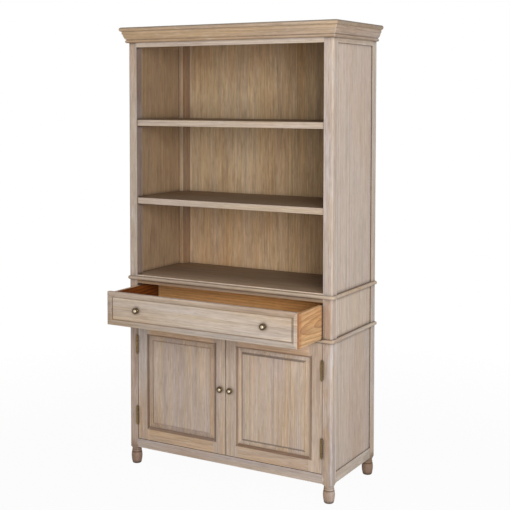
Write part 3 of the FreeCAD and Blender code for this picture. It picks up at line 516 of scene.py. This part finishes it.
# Finishes. The first row whose word is in a piece's name gives its grain, its tones and its look.
FINISHES = [
    ("drawer_front", "X", FRONT, Look(turned=[(RIGHT, FRONT_END), (LEFT, FRONT_END)])),
    ("drawer_side_left", "Y", NATURAL, Look(
        rings=0.8, spacing=WIDE_RINGS, pith=DRAWER_SIDE_FIGURE, streaks=0.34, glaze_and_shade=0.6,
        shades=[DRAWER_SIDE_FRONT, DRAWER_SIDE_LOW],
        turned=[(RIGHT, LEFT_SIDE_INSIDE), (UP, TOP_EDGE)])),
    ("drawer_side_right", "Y", NATURAL, Look(
        rings=0.55, spacing=WIDE_RINGS, pith=DRAWER_SIDE_FIGURE, streaks=0.18,
        shades=[DRAWER_SIDE_FRONT, DRAWER_SIDE_LOW],
        turned=[(LEFT, RIGHT_SIDE_INSIDE), (UP, TOP_EDGE)])),
    ("drawer_back", "X", NATURAL, Look(
        rings=0.4, glaze_and_shade=0.5, shades=[DRAWER_BACK_END], turned=[(FORWARD, DRAWER_BACK_FACE)])),
    ("drawer_top_rail", "X", EDGE, Look(turned=[(FORWARD, DIM_RAIL)])),
    ("drawer_bottom", "X", NATURAL, Look(rings=0.4)),
    ("drawer_runners", "Y", NATURAL, Look(rings=0.4)),
    ("hutch_dowels", "Z", NATURAL, Look()),
    ("door_stops", "X", NATURAL, Look()),
    ("hutch_shelf", "X", EDGE, Look(turned=[(UP, SHELF_TOP)])),
    ("hutch_floor", "X", EDGE, Look(shades=[FLOOR_FRONT], turned=[(UP, SHELF_TOP)])),
    ("cupboard_floor", "X", INNER, Look()),
    ("hutch_back", "Z", INNER, Look(
        streaks=0.20, smudge=0.35, glaze_and_shade=0.2, shades=[BACK_TOP, BACK_LOW, BACK_RIGHT, BACK_EDGE])),
    ("_back", "Z", INNER, Look(streaks=0.20)),
    ("hutch_side_panel_left", "Z", SIDE, Look(
        patch=EVEN, smudge=0.4, glaze_and_shade=0.55, turned=[(RIGHT, INSIDE)])),
    ("hutch_side_panel_right", "Z", SIDE, Look(
        streaks=0.11, patch=EVEN, hue=0.35, turned=[(LEFT, INSIDE)])),
    ("hutch_post_rear_left", "Z", LIMED, Look(
        glaze_and_shade=0.3, turned=[(FORWARD, STILE_FACE), (BEVEL_RIGHT, STILE_BEVEL)])),
    ("hutch_post_rear_right", "Z", LIMED, Look(
        turned=[(FORWARD, STILE_FACE), (BEVEL_LEFT, STILE_BEVEL)])),
    ("hutch_post_front_left", "Z", POST, Look(
        patch=EVEN, smudge=0.3, bloom=0.4, wear=POST_WEAR_AND_HIGHLIGHT, turned=[(RIGHT, POST_INSIDE)])),
    ("hutch_post_front_right", "Z", POST, Look(
        patch=EVEN, smudge=0.3, bloom=0.5, wear=POST_WEAR_AND_HIGHLIGHT, turned=[(LEFT, POST_INSIDE)])),
    ("base_post_front_left", "Z", GREY, Look(
        smudge=0.3, bloom=0.25, wear=POST_WEAR_AND_HIGHLIGHT, shades=[LEFT_FOOT, *NECK])),
    # Strong edge wear, with a painted highlight on the post's rounded corner
    ("base_post_front_right", "Z", POST, Look(
        smudge=0.3, bloom=0.4, wear=POST_WEAR_AND_HIGHLIGHT, worn=0.85,
        shades=[FRONT_FOOT, *NECK, POST_HEAD, POST_LOW, POST_CORNER], turned=[(RIGHT, POST_SIDE)])),
    ("base_post_rear", "Z", LIMED, Look(smudge=0.3, bloom=0.25, shades=[REAR_FOOT, *NECK])),
    ("right_door_panel", "Z", PANEL, Look(
        streaks=0.13, hue=1.0, smudge=0.25, glaze_and_shade=0.3, shades=[UNDER_DRAWER])),
    ("door_panel", "Z", PANEL, Look(streaks=0.13, hue=1.0, smudge=0.25, glaze_and_shade=0.3)),
    ("left_door_hinge_stile", "Z", LIMED, Look(smudge=0.3, glaze_and_shade=0.5)),
    ("stile", "Z", PANEL, Look(smudge=0.3, glaze_and_shade=0.5)),
    ("side_panel", "Z", SIDE, Look(streaks=0.11, hue=0.4, shades=[BESIDE_DRAWER])),
    ("hutch_side_rails", "Y", LIMED, Look(glaze_and_shade=0.5, shades=RAIL_INSIDE)),
    ("side_rails", "Y", LIMED, Look()),
    ("cornice_returns", "Y", LIMED, Look(
        glaze_and_shade=0.3, shades=[CORNICE_BEAD], turned=[(RIGHT, CORNICE_END), (LEFT, CORNICE_END)])),
    ("returns", "Y", LIMED, Look()),
    ("door_top_rail", "X", EDGE, Look(patch=TANNED, glaze_and_shade=0.6, tint=DOOR_TOP_RAIL)),
    ("door_bottom_rail", "X", EDGE, Look(patch=TANNED, tint=DOOR_BOTTOM_RAIL)),
    ("cornice_front", "X", EDGE, Look(patch=TANNED, glaze_and_shade=0.3, shades=[CORNICE_BEAD])),
    ("cornice_cap", "X", EDGE, Look(
        patch=TANNED, worn=0.1, shades=[CAP_RIM], turned=[(UP, CAP_TOP), (RIGHT, CAP_END), (LEFT, CAP_END)])),
    ("frieze_rail", "X", FRONT, Look(glaze_and_shade=0.2)),
    ("base_top", "X", EDGE, Look()),
    ("base_rail_front", "X", LIMED, Look(tint=BASE_RAIL)),
    ("waist_moulding", "X", WARM, Look()),
    ("", "X", LIMED, Look()),
]

# Bands beside the field of a door's panel and of the drawer's front, dark lines of glaze and painted shade
# and strips of painted light: start and end outside it, and tint
PANEL_FIELD_INSET = 0.029       # from the panel's hidden edge to its raised field
LEFT_DOOR_BANDS = {
    "left": [(0.0, 0.021, (1.10, 1.04, 1.00)), (-0.001, 0.006, (0.52, 0.47, 0.43)),
             (0.0225, 0.032, (0.32, 0.27, 0.23))],
    "right": [(0.0, 0.026, (0.88, 0.82, 0.78)), (-0.001, 0.002, (0.90, 0.88, 0.86)),
              (0.021, 0.027, (1.14, 1.14, 1.14)), (0.028, 0.0355, (0.36, 0.31, 0.27))],
    "above": [(0.0, 0.021, (0.97, 0.96, 0.96)), (0.001, 0.005, (0.78, 0.74, 0.71)),
              (0.0225, 0.0305, (0.60, 0.54, 0.50))],
    "below": [(0.0, 0.021, (0.88, 0.84, 0.82)), (-0.003, 0.002, (0.88, 0.85, 0.84)),
              (0.021, 0.0335, (0.48, 0.45, 0.47))]}
RIGHT_DOOR_BANDS = {
    "left": [(0.0, 0.021, (1.38, 1.36, 1.30)), (-0.001, 0.006, (0.50, 0.44, 0.35)),
             (0.0225, 0.0305, (0.52, 0.46, 0.40))],
    "right": [(0.0, 0.026, (0.96, 0.92, 0.84)), (-0.001, 0.001, (0.97, 0.95, 0.92)),
              (0.0205, 0.027, (1.28, 1.24, 1.20)), (0.028, 0.035, (0.46, 0.41, 0.37))],
    "above": [(0.0, 0.021, (0.99, 1.01, 1.03)), (-0.003, 0.007, (0.50, 0.49, 0.48)),
              (0.0225, 0.0305, (0.60, 0.55, 0.54))],
    "below": [(0.0, 0.020, (1.06, 1.05, 1.04)), (-0.003, 0.005, (0.47, 0.48, 0.51)),
              (0.0215, 0.0335, (0.47, 0.38, 0.32))]}
DOOR_BANDS = {"left": LEFT_DOOR_BANDS, "right": RIGHT_DOOR_BANDS}
DRAWER_FIELD_INSET = 0.026      # from the drawer front's edge to its sunk field
DRAWER_BANDS = {
    "left": [(0.0, 0.028, (0.74, 0.72, 0.72)), (-0.001, 0.003, (0.42, 0.34, 0.28))],
    "right": [(0.0, 0.009, (0.80, 0.79, 0.79)), (-0.002, 0.0015, (0.55, 0.50, 0.46)),
              (0.006, 0.010, (0.62, 0.56, 0.52))],
    "above": [(0.0, 0.028, (0.86, 0.82, 0.80)), (0.001, 0.005, (0.84, 0.79, 0.76)),
              (0.009, 0.012, (0.93, 0.90, 0.88))],
    "below": [(0.0, 0.028, (0.78, 0.79, 0.82)), (-0.001, 0.003, (0.58, 0.49, 0.40))]}


def field_of(name):
    """The middle and half size of the rectangle that is raised on a door's panel or sunk in the
    drawer's front, and the bands round it. The frame of a door has the bands of its panel."""
    if name == "drawer_front":
        panel, inset, bands = name, DRAWER_FIELD_INSET, DRAWER_BANDS
    elif name.startswith(("left_door_", "right_door_")):
        side = name.split("_")[0]
        panel, inset, bands = side + "_door_panel", PANEL_FIELD_INSET, DOOR_BANDS[side]
    else:
        return None
    low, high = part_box(panel)
    return (low + high) / 2, (high - low) / 2 - Vector((inset, inset, inset)), bands


slots = {row["node"]: row["material_slot"] for row in frame["record"]["subparts"]}
for seed, name in enumerate(sorted(parts)):
    low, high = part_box(name)
    if slots[name] == "antique_brass":
        material = aged_brass(name, low, high, seed)
    else:
        _, grain, tones, look = next(row for row in FINISHES if row[0] in name)
        material = wood(name, grain, tones, look, low, high, field_of(name), seed)
    parts[name].data.materials.clear()
    parts[name].data.materials.append(material)


def make_camera():
    data = bpy.data.cameras.new("camera")
    camera = bpy.data.objects.new("camera", data)
    camera.location = CAMERA_PLACE
    camera.rotation_euler = (math.radians(LEVEL + CAMERA_PITCH), 0, math.radians(CAMERA_YAW))
    data.sensor_fit = "HORIZONTAL"
    data.sensor_width = SENSOR_WIDTH
    data.lens = SENSOR_WIDTH * FOCAL_LENGTH_PX / IMAGE_SIZE
    data.shift_x = 0.5 - AXIS_PX[0] / IMAGE_SIZE
    data.shift_y = AXIS_PX[1] / IMAGE_SIZE - 0.5
    bpy.context.scene.collection.objects.link(camera)
    bpy.context.scene.camera = camera


def make_world():
    """Soft light from all round, and a white backdrop where the world itself is seen."""
    world = bpy.data.worlds.new("world")
    bpy.context.scene.world = world
    graph = Graph(world)
    strength = graph.ramp(graph.seen_directly(), 0.0, 1.0, WORLD_LIGHT, BACKDROP)
    background = graph.add("Background", {"Color": WHITE, "Strength": strength}).outputs[0]
    graph.finish(background, "OutputWorld")


def make_floor():
    """A pale disc that keeps a faint shadow and melts into the backdrop."""
    corners = []
    for index in range(FLOOR_SIDES):
        angle = 2 * math.pi * index / FLOOR_SIDES
        corners.append((FLOOR_RADIUS * math.cos(angle), FLOOR_RADIUS * math.sin(angle), 0.0))
    mesh = bpy.data.meshes.new("floor")
    mesh.from_pydata(corners, [], [list(range(FLOOR_SIDES))])
    floor = bpy.data.objects.new("floor", mesh)
    bpy.context.scene.collection.objects.link(floor)

    graph = Graph(bpy.data.materials.new("floor"))
    place = graph.add("TexCoord", {}).outputs["Object"]
    radius = graph.add("VectorMath", {0: place}, operation="LENGTH").outputs["Value"]
    dark, pale = [(grey, grey, grey, 1.0) for grey in FLOOR_GREYS]
    grit = graph.mix(graph.value(place, FLOOR_GRIT), dark, pale)
    matt = graph.add("BsdfDiffuse", {"Color": grit}).outputs[0]
    white = graph.add("Emission", {"Color": WHITE, "Strength": BACKDROP}).outputs[0]
    seen = graph.seen_directly()
    share = graph.math("MULTIPLY", seen, FLOOR_WHITE)
    lit = graph.add("MixShader", {0: share, 1: matt, 2: white}).outputs[0]
    clear = graph.add("BsdfTransparent", {}).outputs[0]
    fade = graph.math("MULTIPLY", graph.ramp(radius, *FLOOR_FADE), seen)
    mesh.materials.append(graph.finish(graph.add("MixShader", {0: fade, 1: lit, 2: clear}).outputs[0]))


def make_lamp(name, place, aim, size, watts):
    data = bpy.data.lights.new(name, "AREA")
    data.shape = "DISK"
    data.size = size
    data.energy = watts
    lamp = bpy.data.objects.new(name, data)
    lamp.location = place
    lamp.rotation_euler = (Vector(aim) - Vector(place)).to_track_quat("-Z", "Y").to_euler()
    bpy.context.scene.collection.objects.link(lamp)


make_camera()
make_world()
make_floor()
make_lamp("key", KEY_PLACE, KEY_AIM, KEY_SIZE, KEY_LIGHT)
bpy.context.scene.view_settings.view_transform = "Standard"
